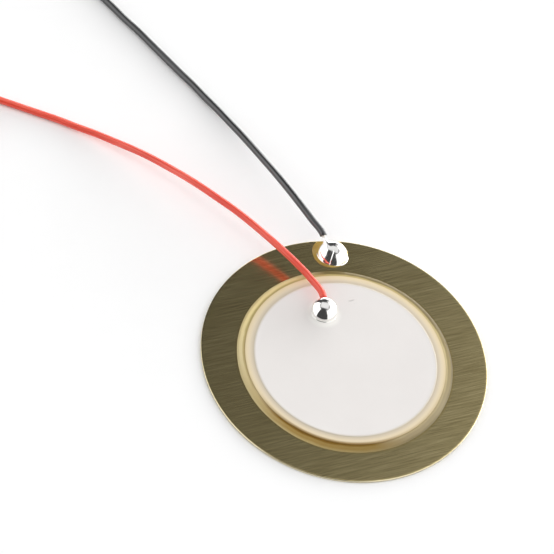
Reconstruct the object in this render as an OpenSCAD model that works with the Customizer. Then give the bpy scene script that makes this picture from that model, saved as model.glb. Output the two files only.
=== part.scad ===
// Piezo disc: a brass-backed bender element with two soldered flying leads.
// Millimetres. The origin is the centre of the brass plate's back face, +Z points
// towards the ceramic, and +Y runs through the solder joint on the brass.

/* [Brass plate] */
// Diameter of the brass plate
plate_d = 20; // [19:0.5:35]
// Thickness of the brass sheet
plate_t = 0.2; // [0.12:0.01:0.4]
// Roll-over radius that the punch leaves round the upper rim
plate_rollover = 0.06; // [0.02:0.01:0.12]
// Break-out bevel round the lower rim
plate_bevel = 0.03; // [0.01:0.01:0.08]

/* [Ceramic disc] */
// Width of bare brass left round the ceramic when it is centred
brass_margin = 3; // [2.7:0.1:4.5]
// Thickness of the ceramic disc
ceramic_t = 0.17; // [0.1:0.01:0.4]
// Rounding of the ceramic's upper and lower edges
ceramic_edge = 0.025; // [0.01:0.005:0.04]
// How far the ceramic sits off the plate's centre, away from the ground joint
ceramic_shift = 0.2; // [0.15:0.05:0.6]

/* [Silver electrodes] */
// Bare ceramic margin round each electrode
electrode_margin = 0.6; // [0.3:0.1:1.5]
// Thickness of each fired silver electrode
electrode_t = 0.015; // [0.01:0.005:0.03]

/* [Adhesive] */
// Thickness of the film between the plate and the lower electrode
bond_t = 0.02; // [0.01:0.005:0.06]
// Width of the bead squeezed out round the ceramic
bead_w = 0.55; // [0.2:0.05:0.6]
// Height of that bead where it meets the ceramic
bead_h = 0.16; // [0.08:0.01:0.18]

/* [Signal joint] */
// Distance from the upper electrode's edge in to the joint's centre
signal_inset = 2.5; // [1:0.1:3.5]
// Bearing of the joint from the electrode's centre, from +X towards +Y
signal_bearing = 108; // [95:1:125]
// Diameter of the solder drop, along and across its sloping face
signal_drop_d = 1.74; // [1.66:0.02:1.78]
// Thickness of the drop, square to that face
signal_drop_t = 1.06; // [1:0.02:1.2]
// Slope of the face, which rises towards the lead
signal_drop_tilt = 28; // [22:1:32]
// Direction in which the face rises, from +X towards +Y
signal_drop_dir = 78; // [74:1:96]
// Height of the drop's middle above the electrode
signal_drop_lift = 0.26; // [0.22:0.01:0.3]
// How far the drop's middle lies from the joint's centre, in that direction
signal_drop_back = 0.08; // [0.02:0.01:0.1]
// Direction in which the lead leaves, from +X towards +Y
signal_dir = 92; // [75:1:120]
// Upward slope of the lead where it leaves
signal_rise = 10; // [4:1:16]
// Distance from the joint's centre to the end of the insulation
signal_reach = 0.99; // [0.97:0.01:1.3]
// Height of the insulation's end above the electrode
signal_exit_h = 0.58; // [0.5:0.01:0.7]
// Sideways offset of the lead from the joint's centre
signal_side = 0; // [-0.1:0.05:0.1]
// Length of bare conductor between the insulation and its end in the solder
signal_bare = 0.95; // [0.8:0.05:1.1]

/* [Ground joint] */
// Room left for the solder drop between its widest reach and the rim of the plate
ground_inset = 0.05; // [0.02:0.01:0.3]
// Width of the solder drop
ground_drop_w = 2.2; // [2:0.05:2.3]
// Length of the drop, up its sloping face
ground_drop_l = 2.1; // [1.95:0.05:2.2]
// Thickness of the drop, square to that face
ground_drop_t = 1.24; // [1.16:0.02:1.34]
// Slope of the face, which rises towards the rim
ground_drop_tilt = 34; // [30:1:38]
// Direction in which the face rises, from +X towards +Y
ground_drop_dir = 78; // [74:1:100]
// Height of the drop's middle above the plate
ground_drop_lift = 0.02; // [0:0.01:0.06]
// How far the drop's middle lies from the joint's centre, against that direction
ground_drop_fore = 0.1; // [0.04:0.01:0.14]
// Direction in which the lead leaves, from +X towards +Y
ground_dir = 108; // [95:1:125]
// Upward slope of the lead where it leaves
ground_rise = 20; // [12:1:28]
// Distance from the joint's centre to the end of the insulation
ground_reach = 1.14; // [1.05:0.01:1.4]
// Height of the insulation's end above the plate
ground_exit_h = 0.8; // [0.7:0.01:0.9]
// Sideways offset of the lead from the joint's centre
ground_side = 0.38; // [0.2:0.02:0.5]
// Length of bare conductor between the insulation and its end in the solder
ground_bare = 1.3; // [1.1:0.05:1.4]
// Mean width of the flux residue round the drop
flux_w = 0.28; // [0.16:0.02:0.4]
// How far the residue has run off to one side
flux_shift = 0.18; // [0.02:0.02:0.2]
// Direction in which it has run, from +X towards +Y
flux_dir = 165; // [120:5:200]
// Thickness of the flux residue
flux_t = 0.02; // [0.01:0.005:0.04]

/* [Leads] */
// Diameter of the insulation
lead_d = 0.5; // [0.4:0.02:0.6]
// Diameter of one strand of the conductor
strand_d = 0.08; // [0.05:0.005:0.09]
// Length in which the strands make one turn
strand_lay = 2.4; // [1.5:0.1:5]
// Radial clearance between the conductor and its socket in the solder
socket_clearance = 0.01; // [0.005:0.005:0.03]
// Radial thickness of the solder drawn up along the conductor
neck_wall = 0.05; // [0.02:0.01:0.1]
// Bare conductor left between that solder and the insulation, on the ground lead
neck_gap = 0.2; // [0.1:0.05:0.4]
// Length of the stripped and tinned far end of each lead
tip_len = 2.5; // [1.5:0.1:4]

/* [Lead coils] */
// Radius of the first half turn of each lead's coil
coil_r = 2.8; // [2.5:0.1:4]
// Distance between neighbouring turns
coil_pitch = 0.65; // [0.6:0.05:0.9]
// Number of half turns in each coil
coil_half_turns = 2; // [1:1:4]

/* [Hidden] */

ROUND_FN = 96;       // circles and revolved forms
SMALL_FN = 48;       // edge roundings, solder and coil sections
LEAD_SIDES = 8;      // sides of a lead's swept tube
STRANDS_ROUND = 6;   // strands laid round the middle one
POINTS_PER_STRAND = 4;
TIN_FILL = 0.8;      // how far tin fills the grooves, as a share of the conductor's radius
NECK_FLARE = 1.7;    // how much wider the drawn-up solder is where it leaves the drop
FILM_GAP = 0.02;     // kept between the resin and the drop, which overhangs it at the rim's side

BRASS = [0.62, 0.56, 0.33];
ADHESIVE = [0.78, 0.65, 0.32];
SILVER = [0.9, 0.89, 0.87];
CERAMIC = [0.87, 0.81, 0.69];
SOLDER = [0.86, 0.86, 0.85];
FLUX = [0.75, 0.6, 0.25];
TINNED = [0.82, 0.82, 0.8];
RED = [0.92, 0.2, 0.16];
BLACK = [0.12, 0.12, 0.13];

plate_r = plate_d / 2;
ceramic_r = plate_r - brass_margin;
electrode_r = ceramic_r - electrode_margin;
bead_r = ceramic_r + bead_w;
ground_foot_r = ground_drop_w / 2;
// Half length of the ground drop where it is cut level through its middle
ground_foot_l = let (l = ground_drop_l / 2, t = ground_drop_t / 2)
    l * t / norm([l * sin(ground_drop_tilt), t * cos(ground_drop_tilt)]);
conductor_r = 1.5 * strand_d;
socket_r = conductor_r + socket_clearance;

// Heights of the stack, from the plate up
lower_electrode_z = plate_t + bond_t;
ceramic_z = lower_electrode_z + electrode_t;
ceramic_top = ceramic_z + ceramic_t;
electrode_top = ceramic_top + electrode_t;

// Centres of the ceramic and of the two joints, on the faces that carry them
ceramic_centre = [0, -ceramic_shift, 0];
signal_centre = ceramic_centre + [0, 0, electrode_top]
    + (electrode_r - signal_inset) * [cos(signal_bearing), sin(signal_bearing), 0];
ground_centre = [0, plate_r - ground_inset - ground_foot_r, plate_t];

// Route of each lead from the end of its insulation: X and Y from that end, and the
// height of the lead's underside above the table
SIGNAL_ROUTE = [
    [-0.75, 1.35, 0.95], [-1.7, 2.5, 1.15], [-2.7, 3.6, 1.3], [-3.75, 4.65, 1.45],
    [-4.8, 5.7, 1.55], [-5.9, 6.75, 1.6], [-7, 7.75, 1.55], [-8.05, 8.8, 1.4],
    [-9.15, 9.8, 1.25], [-10.25, 10.8, 1], [-11.4, 11.75, 0.8], [-12.6, 12.65, 0.55],
    [-13.85, 13.45, 0.35], [-15.1, 14.2, 0.2], [-16.45, 14.9, 0.05], [-17.8, 15.55, 0],
    [-19.2, 16.1, 0], [-20.6, 16.65, 0], [-22, 17.2, 0], [-23.35, 17.8, 0],
    [-24.25, 18.2, 0],
];
GROUND_ROUTE = [
    [-0.8, 1.2, 1.05], [-1.6, 2.5, 1.2], [-2.3, 3.8, 1.15], [-3, 5.1, 1.05],
    [-3.7, 6.45, 0.85], [-4.35, 7.75, 0.6], [-5.05, 9.05, 0.4], [-5.8, 10.35, 0.2],
    [-6.6, 11.6, 0.1], [-7.45, 12.85, 0], [-8.3, 14.05, 0], [-9.25, 15.25, 0],
    [-10.15, 16.45, 0], [-11.05, 17.65, 0], [-11.95, 18.85, 0], [-12.9, 20, 0],
    [-13.8, 21.2, 0], [-14.75, 22.4, 0], [-15.65, 23.55, 0], [-16.6, 24.75, 0],
    [-17.1, 25.4, 0],
];

function unit(v) = v / norm(v);

// Direction of a lead that leaves its joint at a heading and an upward slope
function stub_axis(heading, rise) =
    [cos(rise) * cos(heading), cos(rise) * sin(heading), sin(rise)];

// End of the insulation, from the joint's centre
function lead_exit(centre, heading, reach, side, height) =
    centre + reach * [cos(heading), sin(heading), 0]
    + side * [-sin(heading), cos(heading), 0] + [0, 0, height];

signal_axis = stub_axis(signal_dir, signal_rise);
ground_axis = stub_axis(ground_dir, ground_rise);
signal_exit = lead_exit(signal_centre, signal_dir, signal_reach, signal_side, signal_exit_h);
ground_exit = lead_exit(ground_centre, ground_dir, ground_reach, ground_side, ground_exit_h);

function lead_points(exit, route) =
    concat([exit], [for (p = route) [exit.x + p.x, exit.y + p.y, lead_d / 2 + p.z]]);

signal_points = lead_points(signal_exit, SIGNAL_ROUTE);
ground_points = lead_points(ground_exit, GROUND_ROUTE);

// Tangent at point i: the joint's axis at the start, then along the neighbours
function tangent(points, start, i) =
    i == 0 ? start : unit(points[min(i + 1, len(points) - 1)] - points[i - 1]);

// One ring of a swept form: radii[k] is the radius at the k-th angle
function ring(centre, axis, radii, turn) =
    let (side = unit(cross(axis, [0, 0, 1])), up = cross(side, axis), n = len(radii))
    [for (k = [0:n - 1])
        let (a = 360 * k / n + turn)
        centre + radii[k] * (cos(a) * side + sin(a) * up)];

// Outline of strands laid round a middle one, with tin in the grooves between them
function conductor_radii() =
    [for (k = [0:STRANDS_ROUND * POINTS_PER_STRAND - 1])
        let (
            a = 360 / STRANDS_ROUND * (k / POINTS_PER_STRAND - round(k / POINTS_PER_STRAND)),
            half = sqrt(max(0, pow(strand_d / 2, 2) - pow(strand_d * sin(a), 2)))
        )
        max(strand_d * cos(a) + half, TIN_FILL * conductor_r)];

// A closed solid through a list of rings
module sweep(rings) {
    n = len(rings[0]);
    last = len(rings) - 1;
    polyhedron(
        points = [for (r = rings) each r],
        faces = concat(
            [[for (k = [0:n - 1]) k]],
            [for (j = [0:last - 1]) for (k = [0:n - 1])
                [j * n + k, (j + 1) * n + k, (j + 1) * n + (k + 1) % n, j * n + (k + 1) % n]],
            [[for (k = [n - 1:-1:0]) last * n + k]]
        )
    );
}

module at_stub(exit, heading, rise) {
    translate(exit)
        rotate([0, 90 - rise, heading])
            children();
}

// Ellipsoid with its upper face sloping up along +X, cut off by the face that it sits on
module solder_drop(length, width, thickness, tilt, place) {
    intersection() {
        translate(place)
            rotate([0, -tilt, 0])
                scale([length, width, thickness] / 2)
                    sphere(r = 1, $fn = SMALL_FN);
        cylinder(r = length + width, h = length, $fn = SMALL_FN);
    }
}

module ground_drop() {
    translate(ground_centre)
        rotate([0, 0, ground_drop_dir])
            solder_drop(ground_drop_l, ground_drop_w, ground_drop_t, ground_drop_tilt,
                        [-ground_drop_fore, 0, ground_drop_lift]);
}

module brass_plate() {
    color(BRASS)
        rotate_extrude($fn = ROUND_FN)
            union() {
                square([plate_r - plate_rollover, plate_t]);
                translate([0, plate_bevel])
                    square([plate_r, plate_t - plate_rollover - plate_bevel]);
                polygon([
                    [0, 0], [plate_r - plate_bevel, 0], [plate_r, plate_bevel], [0, plate_bevel],
                ]);
                translate([plate_r - plate_rollover, plate_t - plate_rollover])
                    circle(r = plate_rollover, $fn = SMALL_FN);
            }
}

// The film, thicker round the lower electrode, and the bead that it squeezed out
module bond_layer() {
    bead_arc_r = (bead_w * bead_w + bead_h * bead_h) / (2 * bead_h);
    color(ADHESIVE)
        translate(ceramic_centre)
            difference() {
                rotate_extrude($fn = ROUND_FN) {
                    translate([0, plate_t])
                        square([ceramic_r, ceramic_z - plate_t]);
                    translate([ceramic_r, plate_t])
                        intersection() {
                            square([bead_w, bead_h]);
                            translate([0, bead_h - bead_arc_r])
                                circle(r = bead_arc_r, $fn = ROUND_FN * 2);
                        }
                }
                translate([0, 0, lower_electrode_z])
                    cylinder(r = electrode_r, h = ceramic_t, $fn = ROUND_FN);
            }
}

module electrode(z) {
    color(SILVER)
        translate(ceramic_centre + [0, 0, z])
            cylinder(r = electrode_r, h = electrode_t, $fn = ROUND_FN);
}

module ceramic_disc() {
    inner_r = ceramic_r - ceramic_edge;
    color(CERAMIC)
        translate(ceramic_centre + [0, 0, ceramic_z])
            rotate_extrude($fn = ROUND_FN)
                union() {
                    square([inner_r, ceramic_t]);
                    translate([0, ceramic_edge])
                        square([ceramic_r, ceramic_t - 2 * ceramic_edge]);
                    for (z = [ceramic_edge, ceramic_t - ceramic_edge])
                        translate([inner_r, z])
                            circle(r = ceramic_edge, $fn = SMALL_FN);
                }
}

module signal_solder() {
    color(SOLDER)
        difference() {
            translate(signal_centre)
                rotate([0, 0, signal_drop_dir])
                    solder_drop(signal_drop_d, signal_drop_d, signal_drop_t, signal_drop_tilt,
                                [signal_drop_back, 0, signal_drop_lift]);
            at_stub(signal_exit, signal_dir, signal_rise)
                translate([0, 0, -signal_bare])
                    cylinder(r = socket_r, h = 2 * signal_bare, $fn = SMALL_FN);
        }
}

// Drop with a neck of solder drawn up along the conductor
module ground_solder() {
    neck_len = ground_bare - neck_gap;
    neck_r = socket_r + neck_wall;
    color(SOLDER)
        difference() {
            union() {
                ground_drop();
                at_stub(ground_exit, ground_dir, ground_rise)
                    translate([0, 0, -ground_bare])
                        cylinder(r1 = NECK_FLARE * neck_r, r2 = neck_r, h = neck_len, $fn = SMALL_FN);
            }
            at_stub(ground_exit, ground_dir, ground_rise)
                translate([0, 0, -ground_bare])
                    cylinder(r = socket_r, h = 2 * ground_bare, $fn = SMALL_FN);
        }
}

// Thin film of resin round the drop, kept off the plate's rolled rim and off the adhesive bead
module ground_flux() {
    color(FLUX)
        intersection() {
            difference() {
                translate(ground_centre + flux_shift * [cos(flux_dir), sin(flux_dir), 0])
                    cylinder(r = ground_foot_r + flux_w, h = flux_t, $fn = ROUND_FN);
                translate(ground_centre)
                    rotate([0, 0, ground_drop_dir])
                        translate([-ground_drop_fore, 0, 0])
                            scale([ground_foot_l + FILM_GAP, ground_foot_r + FILM_GAP, 1])
                                cylinder(r = 1, h = plate_t, $fn = ROUND_FN);
                translate(ceramic_centre)
                    cylinder(r = bead_r, h = 1, $fn = ROUND_FN);
            }
            cylinder(r = plate_r - plate_rollover, h = plate_t + flux_t, $fn = ROUND_FN);
        }
}

module lead_tube(points, start) {
    radii = [for (k = [1:LEAD_SIDES]) lead_d / 2];
    sweep([for (i = [0:len(points) - 1]) ring(points[i], tangent(points, start, i), radii, 0)]);
}

// Places its children at the end of a lead, with +X along it and the coil towards +Y
module at_coil(points, hand) {
    last = points[len(points) - 1];
    ahead = last - points[len(points) - 2];
    translate(last)
        rotate([0, 0, atan2(ahead.y, ahead.x)])
            mirror([0, hand < 0 ? 1 : 0, 0])
                children();
}

function coil_arc_r(i) = coil_r - i * coil_pitch / 2;

// Half turns that close in, each from its own centre
module coil_arc(i, angle) {
    translate([0, coil_r + (i % 2) * coil_pitch / 2, 0])
        rotate([0, 0, 180 * i - 90])
            rotate_extrude(angle = angle, $fn = ROUND_FN)
                translate([coil_arc_r(i), 0])
                    children();
}

module lead_coil(points, hand) {
    at_coil(points, hand)
        for (i = [0:coil_half_turns - 1])
            coil_arc(i, 180)
                circle(d = lead_d, $fn = SMALL_FN);
}

// Stranded conductor along a straight stub, from inside the solder to the insulation
module stub_conductor(exit, axis, bare) {
    rings = ceil(bare / strand_d / 2);
    sweep([for (i = [0:rings])
        ring(exit - axis * bare * (1 - i / rings), axis, conductor_radii(),
             360 * bare * i / rings / strand_lay)]);
}

// Tinned end of the conductor, on the next half turn of the coil
module lead_tip(points, hand) {
    tip_r = coil_arc_r(coil_half_turns);
    tip_angle = tip_len / tip_r * 180 / PI;
    start = 180 * coil_half_turns - 90;
    centre = [0, coil_r + (coil_half_turns % 2) * coil_pitch / 2, 0];
    rings = ceil(tip_len / strand_d / 2.5);
    at_coil(points, hand)
        sweep([for (i = [0:rings])
            let (a = start + tip_angle * i / rings)
            ring(centre + tip_r * [cos(a), sin(a), 0], [-sin(a), cos(a), 0], conductor_radii(),
                 360 * tip_len * i / rings / strand_lay)]);
}

module signal_lead() { color(RED) lead_tube(signal_points, signal_axis); }
module signal_lead_coil() { color(RED) lead_coil(signal_points, 1); }
module signal_conductor() { color(TINNED) stub_conductor(signal_exit, signal_axis, signal_bare); }
module signal_lead_tip() { color(TINNED) lead_tip(signal_points, 1); }

module ground_lead() { color(BLACK) lead_tube(ground_points, ground_axis); }
module ground_lead_coil() { color(BLACK) lead_coil(ground_points, -1); }
module ground_conductor() { color(TINNED) stub_conductor(ground_exit, ground_axis, ground_bare); }
module ground_lead_tip() { color(TINNED) lead_tip(ground_points, -1); }

brass_plate();
bond_layer();
electrode(lower_electrode_z);  // lower_electrode
ceramic_disc();
electrode(ceramic_top);  // upper_electrode
signal_solder();
ground_solder();
ground_flux();
signal_lead();
signal_lead_coil();
signal_conductor();
signal_lead_tip();
ground_lead();
ground_lead_coil();
ground_conductor();
ground_lead_tip();
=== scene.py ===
"""Looks of the piezo disc: finishes, solder joints, flying leads, floor, light and camera.

Everything is in metres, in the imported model's own frame: the origin is the centre of
the brass plate's back, +Z points towards the ceramic and +Y runs through the ground joint.
"""

import math

import bpy
from mathutils import Matrix, Vector


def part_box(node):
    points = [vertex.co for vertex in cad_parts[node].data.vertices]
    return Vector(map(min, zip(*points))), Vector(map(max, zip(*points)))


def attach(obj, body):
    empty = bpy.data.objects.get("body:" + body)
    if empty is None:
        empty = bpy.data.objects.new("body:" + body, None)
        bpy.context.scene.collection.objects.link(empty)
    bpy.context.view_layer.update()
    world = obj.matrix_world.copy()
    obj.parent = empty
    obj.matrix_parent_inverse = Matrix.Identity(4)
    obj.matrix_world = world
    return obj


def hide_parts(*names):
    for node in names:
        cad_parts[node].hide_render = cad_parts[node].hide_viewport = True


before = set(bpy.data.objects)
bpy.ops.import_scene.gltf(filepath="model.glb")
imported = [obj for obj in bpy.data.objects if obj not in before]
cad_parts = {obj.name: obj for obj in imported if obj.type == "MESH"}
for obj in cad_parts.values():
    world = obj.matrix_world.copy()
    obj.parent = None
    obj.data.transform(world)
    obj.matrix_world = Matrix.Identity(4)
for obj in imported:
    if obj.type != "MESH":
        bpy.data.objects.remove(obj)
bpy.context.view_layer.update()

MM = 0.001
UP = Vector((0, 0, 1))

# ---------------------------------------------------------------- sizes from the frame

plate_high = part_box("brass_plate")[1]
ceramic_low, ceramic_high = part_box("ceramic_disc")
upper_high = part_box("upper_electrode")[1]
lower_low, lower_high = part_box("lower_electrode")
bond_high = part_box("bond_layer")[1]

PLATE_R = plate_high.x
PLATE_TOP = plate_high.z
CERAMIC_R = ceramic_high.x
CERAMIC_CENTRE = Vector((0, (ceramic_low.y + ceramic_high.y) / 2, 0))
CERAMIC_BASE = ceramic_low.z
CERAMIC_TOP = ceramic_high.z
ELECTRODE_R = upper_high.x
ELECTRODE_TOP = upper_high.z
FILM_R = lower_high.x
FILM_TOP = lower_low.z
BEAD_R = bond_high.x
BEAD_TOP = bond_high.z

# The joints' centres, on the faces that carry them
SIGNAL_INSET = 2.5 * MM
SIGNAL_BEARING = math.radians(108)
SIGNAL_FOOT = CERAMIC_CENTRE + UP * ELECTRODE_TOP + (ELECTRODE_R - SIGNAL_INSET) * Vector(
    (math.cos(SIGNAL_BEARING), math.sin(SIGNAL_BEARING), 0))
GROUND_DROP_R = 1.1 * MM
GROUND_INSET = 0.05 * MM
GROUND_FOOT = Vector((0, PLATE_R - GROUND_INSET - GROUND_DROP_R, PLATE_TOP))

# ---------------------------------------------------------------- the leads' own values

LEAD_R = 0.25 * MM
LEAD_SIDES = 24
PATH_STEP = 0.2 * MM
# Rounding of the insulation's cut ends, and where its rings lie
LIP = 0.05 * MM
LIP_RINGS = (0.15, 0.4, 0.7)
STRAND_R = 0.04 * MM
STRAND_SIDES = 8
STRANDS_ROUND = 6
# Length in which the strands make one turn
STRAND_LAY = 2.4 * MM
CONDUCTOR_R = 3 * STRAND_R
CORE_R = 0.8 * CONDUCTOR_R
CORE_SIDES = 12
# How far the bare conductor reaches into the insulation
STUB_OVERLAP = 0.1 * MM
STUB_STEPS = 24
TIP_STEPS = 30
TIP_LENGTH = 2.5 * MM
COIL_R = 2.8 * MM
COIL_PITCH = 0.65 * MM
COIL_HALF_TURNS = 2
POINTS_PER_HALF_TURN = 8

# X and Y from the end of the insulation, and the height of the lead's underside, in mm
SIGNAL_ROUTE = [
    (-0.75, 1.35, 0.95), (-1.7, 2.5, 1.15), (-2.7, 3.6, 1.3), (-3.75, 4.65, 1.45),
    (-4.8, 5.7, 1.55), (-5.9, 6.75, 1.6), (-7, 7.75, 1.55), (-8.05, 8.8, 1.4),
    (-9.15, 9.8, 1.25), (-10.25, 10.8, 1), (-11.4, 11.75, 0.8), (-12.6, 12.65, 0.55),
    (-13.85, 13.45, 0.35), (-15.1, 14.2, 0.2), (-16.45, 14.9, 0.05), (-17.8, 15.55, 0),
    (-19.2, 16.1, 0), (-20.6, 16.65, 0), (-22, 17.2, 0), (-23.35, 17.8, 0),
    (-24.25, 18.2, 0),
]
GROUND_ROUTE = [
    (-0.8, 1.2, 1.05), (-1.6, 2.5, 1.2), (-2.3, 3.8, 1.15), (-3, 5.1, 1.05),
    (-3.7, 6.45, 0.85), (-4.35, 7.75, 0.6), (-5.05, 9.05, 0.4), (-5.8, 10.35, 0.2),
    (-6.6, 11.6, 0.1), (-7.45, 12.85, 0), (-8.3, 14.05, 0), (-9.25, 15.25, 0),
    (-10.15, 16.45, 0), (-11.05, 17.65, 0), (-11.95, 18.85, 0), (-12.9, 20, 0),
    (-13.8, 21.2, 0), (-14.75, 22.4, 0), (-15.65, 23.55, 0), (-16.6, 24.75, 0),
    (-17.1, 25.4, 0),
]


class Joint:
    """Where a lead leaves its solder: foot of the joint, heading, slope and distances in mm."""

    def __init__(self, foot, heading, rise, reach, side, height, bare):
        h = math.radians(heading)
        r = math.radians(rise)
        ahead = Vector((math.cos(h), math.sin(h), 0))
        across = Vector((-math.sin(h), math.cos(h), 0))
        self.foot = foot
        self.axis = ahead * math.cos(r) + UP * math.sin(r)
        self.exit = foot + (ahead * reach + across * side + UP * height) * MM
        self.bare = bare * MM


SIGNAL = Joint(SIGNAL_FOOT, heading=92, rise=10, reach=0.99, side=0, height=0.58, bare=0.95)
GROUND = Joint(GROUND_FOOT, heading=108, rise=20, reach=1.14, side=0.38, height=0.8, bare=1.3)

# ---------------------------------------------------------------- camera

VIEW_TARGET = Vector((-4.13, 6.83, 0)) * MM
VIEW_DISTANCE = 200 * MM
VIEW_AZIMUTH = -17.4
VIEW_ELEVATION = 52.45
VIEW_ROLL = 15.63
VIEW_LENS = 186.2
FAR_CLIP = 20


def direction(azimuth, elevation):
    """Unit vector: azimuth 0 points to -Y and 90 to +X; elevation is above the horizon."""
    a = math.radians(azimuth)
    e = math.radians(elevation)
    return Vector((math.sin(a) * math.cos(e), -math.cos(a) * math.cos(e), math.sin(e)))


def make_camera():
    back = direction(VIEW_AZIMUTH, VIEW_ELEVATION)
    right = UP.cross(back).normalized()
    up = back.cross(right)
    r = math.radians(VIEW_ROLL)
    x_axis = right * math.cos(r) + up * math.sin(r)
    y_axis = up * math.cos(r) - right * math.sin(r)
    data = bpy.data.cameras.new("camera")
    data.lens = VIEW_LENS
    data.clip_start = VIEW_DISTANCE / 20
    data.clip_end = FAR_CLIP
    camera = bpy.data.objects.new("camera", data)
    turn = Matrix((x_axis, y_axis, back)).transposed().to_4x4()
    camera.matrix_world = Matrix.Translation(VIEW_TARGET + back * VIEW_DISTANCE) @ turn
    bpy.context.scene.collection.objects.link(camera)
    bpy.context.scene.camera = camera


# ---------------------------------------------------------------- node helpers

def srgb(red, green, blue):
    """A colour given as it shows on a screen, from 0 to 255, as the linear one nodes take."""
    def linear(c):
        c /= 255
        return c / 12.92 if c <= 0.04045 else ((c + 0.055) / 1.055) ** 2.4
    return (linear(red), linear(green), linear(blue), 1)


class Graph:
    """A node tree. Inputs are constants or the output sockets of other nodes."""

    def __init__(self, tree):
        self.tree = tree
        tree.nodes.clear()

    def add(self, kind, inputs=(), **settings):
        node = self.tree.nodes.new(kind)
        for name, value in settings.items():
            setattr(node, name, value)
        for name, value in dict(inputs).items():
            if isinstance(value, bpy.types.NodeSocket):
                self.tree.links.new(value, node.inputs[name])
            else:
                node.inputs[name].default_value = value
        return node

    def math(self, operation, a, b=0.0, clamp=False):
        return self.add("ShaderNodeMath", {0: a, 1: b}, operation=operation, use_clamp=clamp).outputs[0]

    def plus(self, a, b):
        return self.math("ADD", a, b)

    def times(self, a, b):
        return self.math("MULTIPLY", a, b)

    def vector(self, operation, a, b):
        return self.add("ShaderNodeVectorMath", {0: a, 1: b}, operation=operation).outputs[0]

    def stretched(self, scale, turn=0.0, vector=None):
        """The object's coordinates turned about Z and scaled, in features per metre."""
        turned = self.add("ShaderNodeVectorRotate", {
            "Vector": vector or self.place, "Axis": (0, 0, 1), "Angle": -math.radians(turn),
        })
        return self.vector("MULTIPLY", turned.outputs[0], scale)

    def noise(self, vector, detail, roughness=0.5):
        return self.add("ShaderNodeTexNoise", {
            "Vector": vector, "Scale": 1.0, "Detail": detail, "Roughness": roughness,
        }).outputs["Fac"]

    def ramp(self, factor, stops):
        """Colours or greys along a factor: stops are (position, value)."""
        node = self.add("ShaderNodeValToRGB", {"Fac": factor})
        node.color_ramp.interpolation = "LINEAR"
        elements = node.color_ramp.elements
        while len(elements) < len(stops):
            elements.new(0.5)
        for element, (position, value) in zip(elements, stops):
            element.position = position
            element.color = value if isinstance(value, tuple) else (value, value, value, 1)
        return node.outputs["Color"]

    def band(self, value, start, end):
        """0 at start, 1 at end, smooth between."""
        return self.add("ShaderNodeMapRange", {
            "Value": value, "From Min": start, "From Max": end, "To Min": 0.0, "To Max": 1.0,
        }, interpolation_type="SMOOTHSTEP").outputs[0]

    def share(self, value, start, end):
        """0 at start, 1 at end, on one straight line."""
        return self.math("DIVIDE", self.math("SUBTRACT", value, start), end - start)

    def mix(self, factor, a, b):
        node = self.add("ShaderNodeMix", data_type="RGBA", blend_type="MIX")
        for index, value in ((0, factor), (6, a), (7, b)):
            if isinstance(value, bpy.types.NodeSocket):
                self.tree.links.new(value, node.inputs[index])
            else:
                node.inputs[index].default_value = value
        return node.outputs[2]

    def distance(self, centre):
        """Distance from a vertical axis through centre."""
        flat = self.vector("MULTIPLY", self.vector("SUBTRACT", self.place, centre), (1, 1, 0))
        return self.add("ShaderNodeVectorMath", {0: flat}, operation="LENGTH").outputs["Value"]

    def around(self, centre, stops):
        """Colours or greys by the bearing about centre: stops are (degrees from +X, value)."""
        offset = self.vector("SUBTRACT", self.place, centre)
        axes = self.add("ShaderNodeSeparateXYZ", {0: offset}).outputs
        angle = self.math("ARCTAN2", axes["Y"], axes["X"])
        turns = self.math("FRACT", self.math("DIVIDE", angle, 2 * math.pi))
        return self.ramp(turns, [(degrees / 360, value) for degrees, value in stops])

    def bump(self, height, distance, strength):
        return self.add("ShaderNodeBump", {
            "Height": height, "Distance": distance, "Strength": strength,
        }).outputs["Normal"]


class Finish(Graph):
    """A node material."""

    def __init__(self, name):
        self.material = bpy.data.materials.new(name)
        self.material.use_nodes = True
        super().__init__(self.material.node_tree)
        self.output = self.tree.nodes.new("ShaderNodeOutputMaterial")
        self.place = self.add("ShaderNodeTexCoord").outputs["Object"]

    def surface(self, inputs, **settings):
        shader = self.add("ShaderNodeBsdfPrincipled", inputs, **settings)
        self.tree.links.new(shader.outputs[0], self.output.inputs["Surface"])
        return self.material


# ---------------------------------------------------------------- materials

ROLLING_DIRECTION = 16
# A small scuff on the silver, beside the signal joint
SCUFF = SIGNAL_FOOT + Vector((2.15, 1.15, 0)) * MM
SCUFF_DIRECTION = 20


def brass_finish():
    """Rolled brass sheet: fine parallel streaks, faint tarnish, a ring stained by resin and a painted
    highlight along its edge.
    """
    f = Finish("rolled_brass")
    fine = f.noise(f.stretched((450, 26000, 26000), ROLLING_DIRECTION), detail=2)
    broad = f.noise(f.stretched((220, 10000, 10000), ROLLING_DIRECTION), detail=2)
    cloud = f.noise(f.stretched((260, 260, 260)), detail=3)
    tone = f.ramp(cloud, [(0.3, srgb(228, 212, 158)), (0.7, srgb(234, 218, 166))])
    tone = f.mix(f.times(f.band(broad, 0.4, 0.6), 0.6), tone, srgb(200, 184, 132))
    tone = f.mix(f.times(f.band(fine, 0.42, 0.62), 0.75), tone, srgb(172, 155, 108))
    near_bead = f.band(f.distance(CERAMIC_CENTRE), BEAD_R + 0.14 * MM, BEAD_R - 0.02 * MM)
    tone = f.mix(f.times(near_bead, 0.6), tone, srgb(200, 178, 112))
    # Paler towards the rim: a painted highlight along the plate's edge
    painted_rim_highlight = f.band(f.distance(Vector()), PLATE_R - 0.05 * MM, PLATE_R - 0.01 * MM)
    tone = f.mix(f.times(painted_rim_highlight, 0.9), tone, srgb(224, 214, 186))
    return f.surface({
        "Base Color": tone, "Metallic": 1.0, "Roughness": f.plus(f.times(fine, 0.1), 0.16),
        "Normal": f.bump(fine, 0.0003 * MM, 0.5),
    })


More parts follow.
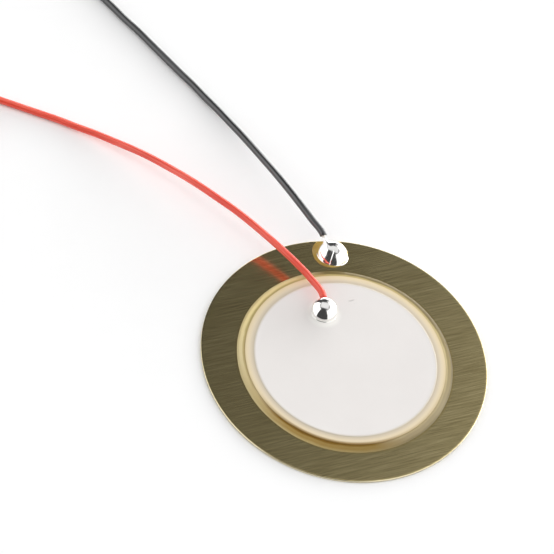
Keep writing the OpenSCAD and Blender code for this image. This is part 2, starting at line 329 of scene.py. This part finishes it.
def adhesive_finish():
    """Cured amber epoxy: clear in front and behind, cloudy to the lower right, with painted light and
    shade in its tone.

    Its tone goes from the ceramic outwards and round it: one ramp by bearing for each zone.
    """
    f = Finish("amber_epoxy")
    # Light and shade painted by bearing: the pale band to the left is a painted highlight; the brown in
    # front is partly clear amber over brass and partly painted shade; the darker right and far side are
    # partly brass under the clear film and partly painted shade; the paler lower right is spread-out
    # adhesive.
    inner = f.around(CERAMIC_CENTRE, [
        (0, srgb(204, 188, 146)), (30, srgb(194, 176, 126)), (95, srgb(190, 170, 112)),
        (120, srgb(184, 164, 106)), (150, srgb(186, 168, 112)), (205, srgb(196, 176, 132)),
        (225, srgb(140, 106, 48)), (245, srgb(130, 96, 38)), (280, srgb(132, 104, 46)),
        (295, srgb(176, 160, 124)), (330, srgb(186, 170, 134)), (360, srgb(204, 188, 146)),
    ])
    middle = f.around(CERAMIC_CENTRE, [
        (0, srgb(152, 137, 97)), (30, srgb(118, 104, 67)), (95, srgb(120, 105, 62)),
        (115, srgb(212, 190, 136)), (150, srgb(236, 218, 160)), (180, srgb(226, 210, 164)),
        (210, srgb(196, 176, 126)), (232, srgb(172, 142, 80)), (280, srgb(150, 124, 69)),
        (300, srgb(160, 145, 112)), (330, srgb(164, 151, 121)), (360, srgb(152, 137, 97)),
    ])
    outer = f.around(CERAMIC_CENTRE, [
        (0, srgb(112, 100, 69)), (30, srgb(114, 101, 67)), (95, srgb(122, 107, 64)),
        (120, srgb(186, 166, 112)), (180, srgb(206, 190, 144)), (210, srgb(206, 187, 138)),
        (245, srgb(188, 166, 112)), (280, srgb(158, 137, 90)), (300, srgb(136, 123, 90)),
        (330, srgb(140, 128, 100)), (360, srgb(112, 100, 69)),
    ])
    share = f.share(f.distance(CERAMIC_CENTRE), CERAMIC_R, BEAD_R)
    blot = f.noise(f.stretched((600, 600, 600)), detail=3)
    wander = f.plus(share, f.times(f.math("SUBTRACT", blot, 0.5), 0.4))
    tone = f.mix(f.band(wander, 0.15, 0.4), inner, middle)
    tone = f.mix(f.band(wander, 0.6, 0.9), tone, outer)
    ripple = f.noise(f.stretched((900, 900, 900)), detail=2)
    return f.surface({
        "Base Color": tone, "Roughness": 0.35, "IOR": 1.54, "Specular IOR Level": 0.1,
        "Normal": f.bump(ripple, 0.01 * MM, 0.4),
    })


def ceramic_finish():
    """Fired lead zirconate titanate: cream and fine grained, with painted shade along its edges and
    brown painted shade in front.
    """
    f = Finish("cream_ceramic")
    share = f.share(f.distance(CERAMIC_CENTRE), ELECTRODE_R, CERAMIC_R)
    # Darker at both ends: painted shade along the electrode's edge and along the ceramic's rounded edge
    tone = f.ramp(share, [
        (0.0, srgb(204, 190, 166)), (0.2, srgb(214, 200, 176)), (0.45, srgb(227, 212, 184)),
        (0.75, srgb(232, 215, 180)), (0.93, srgb(228, 210, 168)), (1.0, srgb(206, 188, 146)),
    ])
    # Brown towards the outer edge in front: painted shade of the unlit side wall
    painted_front_shade = f.around(CERAMIC_CENTRE, [
        (0, 0.05), (205, 0.0), (235, 1.0), (275, 1.0), (300, 0.4), (330, 0.2), (360, 0.05),
    ])
    tone = f.mix(f.times(painted_front_shade, f.band(share, 0.6, 0.95)), tone, srgb(150, 118, 62))
    grain = f.noise(f.stretched((9000, 9000, 9000)), detail=3)
    return f.surface({
        "Base Color": tone, "Roughness": 0.42, "IOR": 1.6,
        "Normal": f.bump(grain, 0.0015 * MM, 0.6),
    })


def silver_finish():
    """Screen-printed and fired silver: matt, nearly white, with the mesh's faint grain."""
    f = Finish("fired_silver")
    grain = f.noise(f.stretched((7000, 7000, 7000)), detail=4, roughness=0.6)
    cloud = f.noise(f.stretched((320, 320, 320)), detail=3)
    tone = f.mix(f.band(cloud, 0.3, 0.75), srgb(236, 232, 229), srgb(234, 230, 227))
    # Darker and creamier towards the printed edge: painted shade along the electrode's edge
    painted_edge_shade = f.band(f.distance(CERAMIC_CENTRE), ELECTRODE_R - 0.2 * MM, ELECTRODE_R + 0.02 * MM)
    tone = f.mix(f.times(painted_edge_shade, 0.8), tone, srgb(208, 197, 178))
    # Whiter ring round the signal joint: a painted reflection of the solder's highlight in the silver
    painted_foot_reflection = f.band(f.distance(SIGNAL_FOOT), 1.35 * MM, 0.95 * MM)
    tone = f.mix(f.times(painted_foot_reflection, 0.8), tone, srgb(250, 248, 243))
    near_scuff = f.band(f.distance(SCUFF), 0.4 * MM, 0.1 * MM)
    scratches = f.noise(f.stretched((2500, 8000, 8000), SCUFF_DIRECTION), detail=3)
    scuffed = f.times(near_scuff, f.band(scratches, 0.48, 0.66))
    tone = f.mix(f.times(scuffed, 0.5), tone, srgb(176, 172, 170))
    return f.surface({
        "Base Color": tone, "Metallic": 0.15, "Roughness": f.plus(f.times(grain, 0.14), 0.48),
        "Normal": f.bump(grain, 0.0015 * MM, 0.6),
    })


def solder_finish():
    """Bright tin-lead solder, with a faint frosting that follows how it froze."""
    f = Finish("bright_solder")
    frost = f.noise(f.stretched((2600, 2600, 2600)), detail=4)
    ripple = f.noise(f.stretched((900, 900, 900)), detail=2)
    tone = f.ramp(frost, [(0.3, srgb(251, 250, 248)), (0.75, srgb(242, 241, 238))])
    rough = f.plus(f.times(f.band(frost, 0.45, 0.8), 0.12), 0.1)
    return f.surface({
        "Base Color": tone, "Metallic": 1.0, "Roughness": rough,
        "Normal": f.bump(ripple, 0.03 * MM, 0.5),
    })


def flux_finish():
    """Thin amber rosin that has run out round the joint."""
    f = Finish("amber_rosin")
    cloud = f.noise(f.stretched((900, 900, 900)), detail=2)
    tone = f.ramp(cloud, [(0.3, srgb(212, 182, 88)), (0.7, srgb(182, 144, 70))])
    alpha = f.ramp(cloud, [(0.3, 0.85), (0.75, 0.6)])
    return f.surface({
        "Base Color": tone, "Roughness": 0.12, "IOR": 1.52, "Alpha": alpha,
        "Coat Weight": 0.5, "Coat Roughness": 0.05,
    })


def vinyl_finish(name, body, light, rough, gloss):
    """Extruded vinyl insulation: paler draw lines along the lead, and a gloss that varies in patches."""
    f = Finish(name)
    run = f.add("ShaderNodeTexCoord").outputs["UV"]
    lines = f.noise(f.stretched((0.25, 9, 1), vector=run), detail=3)
    patches = f.noise(f.stretched((0.8, 1.5, 1), vector=run), detail=2)
    return f.surface({
        "Base Color": f.mix(f.band(lines, 0.4, 0.65), body, light),
        "Roughness": f.plus(f.times(patches, 0.1), rough),
        "IOR": 1.53, "Specular IOR Level": gloss,
        "Normal": f.bump(lines, 0.02 * MM, 0.8),
    })


def tinned_finish():
    """Tinned copper strands, brighter in patches."""
    f = Finish("tinned_copper")
    patches = f.noise(f.stretched((6000, 6000, 6000)), detail=3)
    tone = f.ramp(patches, [(0.3, srgb(232, 229, 224)), (0.75, srgb(214, 208, 198))])
    rough = f.plus(f.times(patches, 0.15), 0.16)
    return f.surface({"Base Color": tone, "Metallic": 1.0, "Roughness": rough})


# ---------------------------------------------------------------- mesh helpers

TURN_SEGMENTS = 360


def new_piece(name, points, faces, material, uvs=None):
    """A smooth-shaded mesh that rides on the part's only body. uvs has one pair per corner."""
    mesh = bpy.data.meshes.new(name)
    mesh.from_pydata([tuple(p) for p in points], [], faces)
    if uvs:
        layer = mesh.uv_layers.new(name="run")
        for loop, uv in zip(layer.data, uvs):
            loop.uv = uv
    mesh.polygons.foreach_set("use_smooth", [True] * len(mesh.polygons))
    mesh.materials.append(material)
    mesh.validate()
    piece = bpy.data.objects.new(name, mesh)
    bpy.context.scene.collection.objects.link(piece)
    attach(piece, "root")
    return piece


def revolve(profile, centre, wobble=None):
    """Points and faces of an (r, z) profile turned about a vertical axis, closed at r = 0.

    wobble(angle, r, z) may return a changed (r, z).
    """
    segments = TURN_SEGMENTS
    points = []
    faces = []
    rings = [p for p in profile if p[0] > 0]
    for r, z in rings:
        for k in range(segments):
            a = 2 * math.pi * k / segments
            rr, zz = wobble(a, r, z) if wobble else (r, z)
            points.append(centre + Vector((rr * math.cos(a), rr * math.sin(a), zz)))
    for j in range(len(rings) - 1):
        for k in range(segments):
            n = (k + 1) % segments
            faces.append((j * segments + k, j * segments + n,
                          (j + 1) * segments + n, (j + 1) * segments + k))
    for end, ring_start, outward in ((profile[0], 0, True),
                                     (profile[-1], (len(rings) - 1) * segments, False)):
        if end[0] > 0:
            continue
        points.append(centre + Vector((0, 0, end[1])))
        hub = len(points) - 1
        for k in range(segments):
            n = (k + 1) % segments
            pair = (ring_start + n, ring_start + k) if outward else (ring_start + k, ring_start + n)
            faces.append((hub, *pair))
    return points, faces


def arc(centre, radius, start, end, steps):
    """(r, z) points along an arc, angles in degrees."""
    cr, cz = centre
    angles = [math.radians(start + (end - start) * i / steps) for i in range(steps + 1)]
    return [(cr + radius * math.cos(a), cz + radius * math.sin(a)) for a in angles]


def smooth_path(points, start_axis, step):
    """Points a step apart on a smooth curve through the given ones."""
    points = [Vector(p) for p in points]
    last = len(points) - 1
    tangents = []
    for i, p in enumerate(points):
        if i == 0:
            tangents.append(Vector(start_axis).normalized())
        else:
            before = (p - points[i - 1])
            after = (points[min(i + 1, last)] - p) if i < last else before
            tangents.append((before.normalized() * after.length
                             + after.normalized() * before.length).normalized())
    path = []
    for a, b, ta, tb in zip(points, points[1:], tangents, tangents[1:]):
        chord = (b - a).length
        count = max(1, round(chord / step))
        for i in range(count):
            t = i / count
            path.append(a * (2 * t**3 - 3 * t**2 + 1) + b * (3 * t**2 - 2 * t**3)
                        + ta * chord * (t**3 - 2 * t**2 + t) + tb * chord * (t**3 - t**2))
    path.append(points[-1])
    return path


def path_frames(path, start_axis=None):
    """(point, tangent, side, up, run) along a path, without twist."""
    frames = []
    run = 0.0
    side = None
    for i, p in enumerate(path):
        ahead = path[min(i + 1, len(path) - 1)] - path[max(i - 1, 0)]
        if i == 0 and start_axis is not None:
            ahead = start_axis
        tangent = ahead.normalized()
        if side is None:
            side = tangent.cross(UP).normalized()
        side = (side - tangent * side.dot(tangent)).normalized()
        if i:
            run += (p - path[i - 1]).length
        frames.append((p, tangent, side, side.cross(tangent), run))
    return frames


def tube(frames, radius, sides):
    """Points, faces and uvs, in mm along it, of a tube with closed ends. radius(run) is its radius."""
    points = []
    for p, _, side, up, run in frames:
        for k in range(sides):
            a = 2 * math.pi * k / sides
            points.append(p + (side * math.cos(a) + up * math.sin(a)) * radius(run))
    faces = []
    uvs = []
    for j in range(len(frames) - 1):
        u0, u1 = frames[j][4] / MM, frames[j + 1][4] / MM
        for k in range(sides):
            n = (k + 1) % sides
            faces.append((j * sides + k, j * sides + n, (j + 1) * sides + n, (j + 1) * sides + k))
            v0, v1 = k / sides, (k + 1) / sides
            uvs += [(u0, v0), (u0, v1), (u1, v1), (u1, v0)]
    last = (len(frames) - 1) * sides
    faces.append(tuple(reversed(range(sides))))
    faces.append(tuple(range(last, last + sides)))
    uvs += [(frames[0][4] / MM, k / sides) for k in reversed(range(sides))]
    uvs += [(frames[-1][4] / MM, k / sides) for k in range(sides)]
    return points, faces, uvs


def join(parts):
    """Several (points, faces, uvs) as one."""
    points, faces, uvs = [], [], []
    for p, f, u in parts:
        base = len(points)
        points += p
        faces += [tuple(i + base for i in face) for face in f]
        uvs += u
    return points, faces, uvs


# ---------------------------------------------------------------- leads

def lead_points(joint, route):
    return [joint.exit] + [
        Vector((joint.exit.x + x * MM, joint.exit.y + y * MM, LEAD_R + lift * MM))
        for x, y, lift in route
    ]


def coil_frame(points, hand):
    """Turns the coil's own coordinates, +X along the lead's end, into the part's frame."""
    start = points[-1]
    ahead = (start - points[-2]).normalized()
    aside = UP.cross(ahead) * hand
    return lambda x, y: start + ahead * x + aside * y


def coil_point(place, half_turn, share):
    """A point of the half turn, share 0 to 1 along it; half turns close in one by one."""
    radius = COIL_R - half_turn * COIL_PITCH / 2
    centre_y = COIL_R + (half_turn % 2) * COIL_PITCH / 2
    a = math.radians(180 * half_turn - 90 + 180 * share)
    return place(radius * math.cos(a), centre_y + radius * math.sin(a))


def rounded_ends(frames):
    """The frames with a few more just inside each end, for the rounded lip of cut insulation."""
    first, last = frames[0], frames[-1]
    near_first = [(first[0] + first[1] * LIP * s, *first[1:4], first[4] + LIP * s) for s in LIP_RINGS]
    near_last = [(last[0] - last[1] * LIP * s, *last[1:4], last[4] - LIP * s)
                 for s in reversed(LIP_RINGS)]
    return [first, *near_first, *frames[1:-1], *near_last, last]


def make_lead(name, joint, route, hand, finish):
    """Insulation from the solder to the stripped end, with its far end wound up."""
    points = lead_points(joint, route)
    place = coil_frame(points, hand)
    for half_turn in range(COIL_HALF_TURNS):
        for i in range(1, POINTS_PER_HALF_TURN + 1):
            points.append(coil_point(place, half_turn, i / POINTS_PER_HALF_TURN))
    path = smooth_path(points, joint.axis, PATH_STEP)
    frames = rounded_ends(path_frames(path, joint.axis))
    length = frames[-1][4]

    def radius(run):
        edge = min(run, length - run, LIP) / LIP
        return LEAD_R * (0.9 + 0.1 * math.sqrt(1 - (1 - edge) ** 2))

    points, faces, uvs = tube(frames, radius, LEAD_SIDES)
    piece = new_piece(name + "_insulation", points, faces, FINISHES[finish], uvs)
    half_turn_length = math.pi * (COIL_R - COIL_HALF_TURNS * COIL_PITCH / 2)
    tip_share = TIP_LENGTH / half_turn_length
    tip_path = [coil_point(place, COIL_HALF_TURNS, tip_share * i / TIP_STEPS)
                for i in range(TIP_STEPS + 1)]
    tip_name = name + "_tip"
    tip = strands(tip_name + "_strands", tip_path)
    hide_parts(tip_name)
    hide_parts(name, name + "_coil")


def strands(name, path):
    """Six tinned strands laid round a middle one, with tin in the grooves between them."""
    frames = path_frames(path)
    parts = [tube(frames, lambda run: CORE_R, CORE_SIDES)]
    for k in range(STRANDS_ROUND):
        helix = []
        for p, _, side, up, run in frames:
            a = 2 * math.pi * (run / STRAND_LAY + k / STRANDS_ROUND)
            helix.append(p + (side * math.cos(a) + up * math.sin(a)) * 2 * STRAND_R)
        parts.append(tube(path_frames(helix), lambda run: STRAND_R, STRAND_SIDES))
    points, faces, uvs = join(parts)
    return new_piece(name, points, faces, FINISHES["tinned"], uvs)


def make_stub(name, joint):
    """The bare conductor between the solder and the insulation."""
    start = joint.exit - joint.axis * joint.bare
    length = joint.bare + STUB_OVERLAP
    path = [start + joint.axis * length * i / STUB_STEPS for i in range(STUB_STEPS + 1)]
    piece = strands(name + "_strands", path)
    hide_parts(name)


# ---------------------------------------------------------------- solder joints

def blended(a, b, reach):
    """The smaller of two distances, rounded off where they are within reach of each other."""
    h = max(reach - abs(a - b), 0) / reach
    return min(a, b) - h * h * reach / 4


def to_cone(p, start, end, r_start, r_end):
    """Distance to a round bar that tapers from start to end."""
    bar = end - start
    t = min(max((p - start).dot(bar) / bar.length_squared, 0), 1)
    return (p - start - bar * t).length - (r_start + (r_end - r_start) * t)


class Neck:
    """Solder drawn up along the conductor. start and end are mm back from the insulation's end."""

    def __init__(self, start, end, r_start, r_end):
        self.start = start * MM
        self.end = end * MM
        self.r_start = r_start * MM
        self.r_end = r_end * MM


class Seam:
    """A shrinkage groove down one side of a drop, in mm."""

    def __init__(self, heading, depth, width):
        h = math.radians(heading)
        self.ahead = Vector((math.cos(h), math.sin(h), 0))
        self.across = Vector((-math.sin(h), math.cos(h), 0))
        self.depth = depth * MM
        self.width = width * MM

    def depth_at(self, p):
        onset = min(max(p.dot(self.ahead) / (4 * self.width), 0), 1)
        return self.depth * onset * math.exp(-(p.dot(self.across) / self.width) ** 2)


class Drop:
    """A drop of solder on its foot: an ellipsoid whose face slopes up towards a heading, in mm.

    back is how far its middle lies from the joint's centre along that heading.
    """

    def __init__(self, length, width, thickness, tilt, heading, back, lift, seam=None):
        turn = Matrix.Rotation(math.radians(heading), 3, "Z")
        slope = Matrix.Rotation(-math.radians(tilt), 3, "Y")
        self.into = (turn @ slope).transposed()
        self.half = Vector((length, width, thickness)) * (MM / 2)
        h = math.radians(heading)
        self.middle = Vector((math.cos(h) * back, math.sin(h) * back, lift)) * MM
        self.seam = seam

    def field(self, p):
        """About the distance from p to the drop's face, negative inside."""
        q = self.into @ (p - self.middle)
        share = Vector((q.x / self.half.x, q.y / self.half.y, q.z / self.half.z))
        slope = Vector((share.x / self.half.x, share.y / self.half.y, share.z / self.half.z)).length
        gap = share.length * (share.length - 1) / slope
        return gap + self.seam.depth_at(p - self.middle) if self.seam else gap


WAIST = 0.3 * MM
SOLDER_SEGMENTS = 360
RINGS_ABOVE_WAIST = 64
RINGS_BELOW_WAIST = 28
LOWEST_RING = 0.004 * MM
# No ray leaves the solder further out than this, and each halving of it places the face better
LONGEST_RAY = 3 * MM
HALVINGS = 26


def solder_joint(name, joint, drop, neck, neck_blend, foot_blend):
    """A drop of solder with a concave foot and a neck drawn up along the conductor.

    Above its waist each point lies where a ray from inside leaves the blended form; below
    it the rays stay level, so that they follow the thin foot out.
    """
    waist = Vector((drop.middle.x, drop.middle.y, WAIST))
    neck_start = joint.exit - joint.foot - joint.axis * neck.start
    neck_end = joint.exit - joint.foot - joint.axis * neck.end

    def field(p):
        bar = to_cone(p, neck_start, neck_end, neck.r_start, neck.r_end)
        return blended(blended(drop.field(p), bar, neck_blend), p.z, foot_blend)

    def leave(start, ray):
        low, high = 0.0, LONGEST_RAY
        for _ in range(HALVINGS):
            middle = (low + high) / 2
            if field(start + ray * middle) < 0:
                low = middle
            else:
                high = middle
        return joint.foot + start + ray * low

    rings = [(waist, 0.5 * math.pi * (1 - j / RINGS_ABOVE_WAIST))
             for j in range(1, RINGS_ABOVE_WAIST + 1)]
    for j in range(1, RINGS_BELOW_WAIST + 1):
        height = LOWEST_RING + (waist.z - LOWEST_RING) * (1 - j / RINGS_BELOW_WAIST) ** 2
        rings.append((Vector((waist.x, waist.y, height)), 0.0))
    segments = SOLDER_SEGMENTS
    points = [leave(waist, UP)]
    for start, rise in rings:
        for k in range(segments):
            a = 2 * math.pi * k / segments
            ray = Vector((math.cos(rise) * math.cos(a), math.cos(rise) * math.sin(a), math.sin(rise)))
            points.append(leave(start, ray))
    points += [Vector((p.x, p.y, joint.foot.z)) for p in points[-segments:]]
    points.append(joint.foot + Vector((waist.x, waist.y, 0)))
    faces = [(0, 1 + k, 1 + (k + 1) % segments) for k in range(segments)]
    for j in range(len(rings)):
        for k in range(segments):
            n = (k + 1) % segments
            above, below = 1 + j * segments, 1 + (j + 1) * segments
            faces.append((above + k, below + k, below + n, above + n))
    base = 1 + len(rings) * segments
    faces += [(base + (k + 1) % segments, base + k, len(points) - 1) for k in range(segments)]
    piece = new_piece(name + "_drop", points, faces, FINISHES["solder"])
    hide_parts(name)


# ---------------------------------------------------------------- the laminated disc

PLATE_ROLLOVER = 0.06 * MM
PLATE_BEVEL = 0.03 * MM
CERAMIC_EDGE = 0.025 * MM
# Thicker print near the electrode's edge, as steps of (distance in from it in mm, share of its height)
PRINT_EDGE = ((0.015, 0.4), (0.05, 0.75), (0.1, 1), (0.16, 1), (0.24, 0.7), (0.34, 0.6))
PRINT_RIDGE = 0.004 * MM


def turned(name, finish, profile, centre, wobble=None):
    """A revolved piece of the disc, with the finish of the given name."""
    points, faces = revolve(profile, centre, wobble)
    return new_piece(name, points, faces, FINISHES[finish])


def make_plate():
    profile = [(0, 0), (PLATE_R * 0.5, 0), (PLATE_R - PLATE_BEVEL, 0), (PLATE_R, PLATE_BEVEL)]
    profile += arc((PLATE_R - PLATE_ROLLOVER, PLATE_TOP - PLATE_ROLLOVER), PLATE_ROLLOVER, 0, 90, 6)
    profile += [(PLATE_R * s, PLATE_TOP) for s in (0.985, 0.96, 0.9, 0.8, 0.6, 0.3, 0)]
    piece = turned("brass_sheet", "brass", profile, Vector())
    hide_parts("brass_plate")


def bead_wobble(angle, r, z):
    """The bead's foot wanders a little, as squeezed-out adhesive does."""
    share = max(0, (r - CERAMIC_R) / (BEAD_R - CERAMIC_R))
    wave = (0.5 * math.sin(3 * angle + 0.4) + 0.3 * math.sin(7 * angle + 2.1)
            + 0.2 * math.sin(17 * angle + 1.3))
    return r + share * 0.02 * MM * (wave - 1), z


def make_adhesive():
    """The film under the ceramic and the bead round it, in one piece."""
    width = BEAD_R - CERAMIC_R
    height = BEAD_TOP - PLATE_TOP
    arc_r = (width**2 + height**2) / (2 * height)
    spread = math.degrees(math.asin(width / arc_r))
    profile = [(0, PLATE_TOP), (FILM_R, PLATE_TOP), (BEAD_R, PLATE_TOP)]
    profile += arc((CERAMIC_R, BEAD_TOP - arc_r), arc_r, 90 - spread, 90, 14)
    profile += [(CERAMIC_R, CERAMIC_BASE), (FILM_R, CERAMIC_BASE), (FILM_R, FILM_TOP), (0, FILM_TOP)]
    piece = turned("adhesive_bead", "adhesive", profile, CERAMIC_CENTRE, bead_wobble)
    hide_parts("bond_layer")


def make_ceramic():
    inner = CERAMIC_R - CERAMIC_EDGE
    profile = [(0, CERAMIC_BASE), (inner, CERAMIC_BASE)]
    profile += arc((inner, CERAMIC_BASE + CERAMIC_EDGE), CERAMIC_EDGE, -60, 0, 2)
    profile += arc((inner, CERAMIC_TOP - CERAMIC_EDGE), CERAMIC_EDGE, 0, 90, 6)
    profile += [(r, CERAMIC_TOP) for r in (ELECTRODE_R + 0.3 * MM, ELECTRODE_R - 0.2 * MM, 0)]
    piece = turned("ceramic_wafer", "ceramic", profile, CERAMIC_CENTRE)
    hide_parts("ceramic_disc")


def print_wobble(angle, r, z):
    """The printed edge is a little ragged."""
    wave = math.sin(11 * angle) + 0.6 * math.sin(29 * angle + 1) + 0.4 * math.sin(67 * angle + 2)
    return (r + 0.003 * MM * (wave - 2), z) if r > 0.95 * ELECTRODE_R else (r, z)


def make_electrode():
    top = ELECTRODE_TOP - PRINT_RIDGE
    profile = [(0, CERAMIC_TOP), (ELECTRODE_R, CERAMIC_TOP)]
    for inset, share in PRINT_EDGE:
        profile.append((ELECTRODE_R - inset * MM, CERAMIC_TOP + share * (ELECTRODE_TOP - CERAMIC_TOP)))
    profile += [(ELECTRODE_R * 0.8, top), (ELECTRODE_R * 0.4, top), (0, top)]
    piece = turned("silver_print", "silver", profile, CERAMIC_CENTRE, print_wobble)
    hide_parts("upper_electrode")


FLUX_T = 0.02 * MM
FLUX_LIFT = 0.002 * MM
FLUX_SEGMENTS = 240
# The film's section, from under the drop to its thin edge and back: (share of its width, height)
FLUX_SECTION = (
    (0, FLUX_LIFT), (1, FLUX_LIFT),
    (0.97, 0.55 * FLUX_T), (0.85, 0.9 * FLUX_T), (0.5, FLUX_T), (0, FLUX_T),
)
# Bearing towards which the rosin has run
FLUX_RUN = math.radians(162)


def flux_reach(angle):
    """How far the film reaches from the joint: on the flat of the plate and clear of the bead."""
    spread = 0.17 + 0.2 * math.cos(angle - FLUX_RUN) + 0.015 * math.sin(5 * angle + 1)
    reach = GROUND_DROP_R + spread * MM
    ray = Vector((math.cos(angle), math.sin(angle), 0))
    centre = Vector((0, GROUND_FOOT.y, 0))
    while (centre + ray * reach).length > PLATE_R - 0.07 * MM:
        reach -= 0.005 * MM
    while (centre + ray * reach - CERAMIC_CENTRE).length < BEAD_R:
        reach -= 0.005 * MM
    return reach


def make_flux():
    """A film of rosin run out round the ground drop."""
    inner = 0.8 * GROUND_DROP_R
    angles = [2 * math.pi * k / FLUX_SEGMENTS for k in range(FLUX_SEGMENTS)]
    reaches = [max(flux_reach(a), inner) for a in angles]
    points = []
    for share, height in FLUX_SECTION:
        for a, reach in zip(angles, reaches):
            ray = Vector((math.cos(a), math.sin(a), 0))
            points.append(GROUND_FOOT + ray * (inner + (reach - inner) * share) + UP * height)
    faces = []
    for j in range(len(FLUX_SECTION)):
        this, after = j * FLUX_SEGMENTS, (j + 1) % len(FLUX_SECTION) * FLUX_SEGMENTS
        for k in range(FLUX_SEGMENTS):
            n = (k + 1) % FLUX_SEGMENTS
            faces.append((this + k, this + n, after + n, after + k))
    piece = new_piece("rosin_film", points, faces, FINISHES["flux"])
    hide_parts("ground_flux")


# ---------------------------------------------------------------- floor and light

# Radiances, where 1 from all round shows a colour as it is written
ROOM_LIGHT = 0.06
RIGHT_LIGHT = 1.41
LEFT_LIGHT = 1.54
LOW_BACK_LIGHT = 5.4
BACK_LIGHT = 1.6
TOP_LIGHT = 0.8
# What the floor adds of its own to camera, gloss and glass
FLOOR_GLOW = 0.075
FLOOR_HALF_SIDE = 3.0
FLOOR_GAP = 0.004 * MM


def make_floor():
    """A pale floor that shows white to camera, gloss and glass and still takes a shadow."""
    mesh = bpy.data.meshes.new("floor")
    corners = [(x * FLOOR_HALF_SIDE, y * FLOOR_HALF_SIDE, -FLOOR_GAP)
               for x, y in ((-1, -1), (1, -1), (1, 1), (-1, 1))]
    mesh.from_pydata(corners, [], [(0, 1, 2, 3)])
    f = Finish("white_floor")
    rays = f.add("ShaderNodeLightPath")
    seen = f.plus(rays.outputs["Is Camera Ray"], rays.outputs["Is Glossy Ray"])
    seen = f.math("ADD", seen, rays.outputs["Is Transmission Ray"], clamp=True)
    grain = f.noise(f.stretched((400, 400, 400)), detail=2)
    tone = f.ramp(grain, [(0.3, (0.915, 0.915, 0.915, 1)), (0.7, (0.925, 0.925, 0.925, 1))])
    paper = f.add("ShaderNodeBsdfDiffuse", {"Color": tone})
    glow = f.add("ShaderNodeEmission", {"Color": (1, 1, 1, 1), "Strength": f.times(seen, FLOOR_GLOW)})
    both = f.add("ShaderNodeAddShader", {0: paper.outputs[0], 1: glow.outputs[0]})
    f.tree.links.new(both.outputs[0], f.output.inputs["Surface"])
    mesh.materials.append(f.material)
    floor = bpy.data.objects.new("floor", mesh)
    bpy.context.scene.collection.objects.link(floor)


def make_world():
    """A white tent, open to a dark room in front and above the back, with a paler strip overhead.

    Azimuths are taken from the camera's side, positive to its right, in degrees.
    """
    world = bpy.data.worlds.new("studio")
    bpy.context.scene.world = world
    world.use_nodes = True
    g = Graph(world.node_tree)
    look = g.add("ShaderNodeVectorRotate", {
        "Vector": g.add("ShaderNodeTexCoord").outputs["Generated"],
        "Axis": (0, 0, 1), "Angle": math.radians(-VIEW_AZIMUTH),
    })
    axes = g.add("ShaderNodeSeparateXYZ", {0: look.outputs[0]}).outputs
    to_front = g.times(axes["Y"], -1.0)
    azimuth = g.times(g.math("ARCTAN2", axes["X"], to_front), 180 / math.pi)
    elevation = g.times(g.math("ARCSINE", axes["Z"]), 180 / math.pi)
    # Where a look upwards meets a ceiling one unit high
    before = g.math("DIVIDE", to_front, axes["Z"])
    beside = g.math("ABSOLUTE", g.math("DIVIDE", axes["X"], axes["Z"]))

    def lit(radiance, *masks):
        value = radiance
        for mask in masks:
            value = g.times(mask, value)
        return value

    below_top = g.band(elevation, 66, 58)
    # The right wall dims evenly over its last 30 degrees
    right_end = g.math("DIVIDE", g.math("SUBTRACT", 177.5, azimuth), 30.0, clamp=True)
    right = (g.band(azimuth, 34, 38), right_end, below_top)
    left = (g.band(azimuth, -34, -38), g.band(azimuth, -124, -114), below_top)
    behind = g.plus(g.band(azimuth, 90, 110), g.band(azimuth, -145, -158))
    overhead = (g.band(beside, 0.5, 0.34), g.band(before, 0.3, 0.16), g.band(before, -0.5, -0.34),
                g.band(axes["Z"], 0.1, 0.2))
    parts = (
        lit(RIGHT_LIGHT, *right),
        lit(LEFT_LIGHT, *left),
        lit(LOW_BACK_LIGHT, behind, g.band(elevation, 18, 9)),
        lit(BACK_LIGHT, behind, g.band(elevation, 31, 22)),
        lit(TOP_LIGHT, *overhead),
    )
    total = ROOM_LIGHT
    for part in parts:
        total = g.plus(part, total)
    sky = g.add("ShaderNodeBackground", {"Color": (1, 1, 1, 1), "Strength": total})
    output = g.add("ShaderNodeOutputWorld")
    g.tree.links.new(sky.outputs[0], output.inputs["Surface"])


# ---------------------------------------------------------------- the scene

FINISHES = {
    "brass": brass_finish(),
    "adhesive": adhesive_finish(),
    "ceramic": ceramic_finish(),
    "silver": silver_finish(),
    "solder": solder_finish(),
    "flux": flux_finish(),
    "red": vinyl_finish("red_vinyl", srgb(234, 80, 63), srgb(252, 108, 90), 0.2, 0.4),
    "black": vinyl_finish("black_vinyl", srgb(18, 18, 20), srgb(46, 46, 48), 0.12, 1.0),
    "tinned": tinned_finish(),
}

make_camera()
make_lead("signal_lead", SIGNAL, SIGNAL_ROUTE, 1, "red")
make_lead("ground_lead", GROUND, GROUND_ROUTE, -1, "black")
make_stub("signal_conductor", SIGNAL)
make_stub("ground_conductor", GROUND)
solder_joint(
    "signal_solder", SIGNAL,
    Drop(1.8, 1.8, 1.06, tilt=28, heading=78, back=0.1, lift=0.24),
    Neck(0.6, 0.03, r_start=0.26, r_end=0.15),
    neck_blend=0.15 * MM, foot_blend=0.05 * MM)
solder_joint(
    "ground_solder", GROUND,
    Drop(2.1, 2.18, 1.24, tilt=34, heading=78, back=-0.2, lift=0.02, seam=Seam(250, 0.018, 0.022)),
    Neck(1.1, 0.2, r_start=0.2, r_end=0.13),
    neck_blend=0.25 * MM, foot_blend=0.08 * MM)
make_plate()
make_adhesive()
make_ceramic()
make_electrode()
make_flux()
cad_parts["lower_electrode"].data.materials.clear()
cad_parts["lower_electrode"].data.materials.append(FINISHES["silver"])
make_floor()
make_world()
bpy.context.scene.view_settings.view_transform = "Standard"
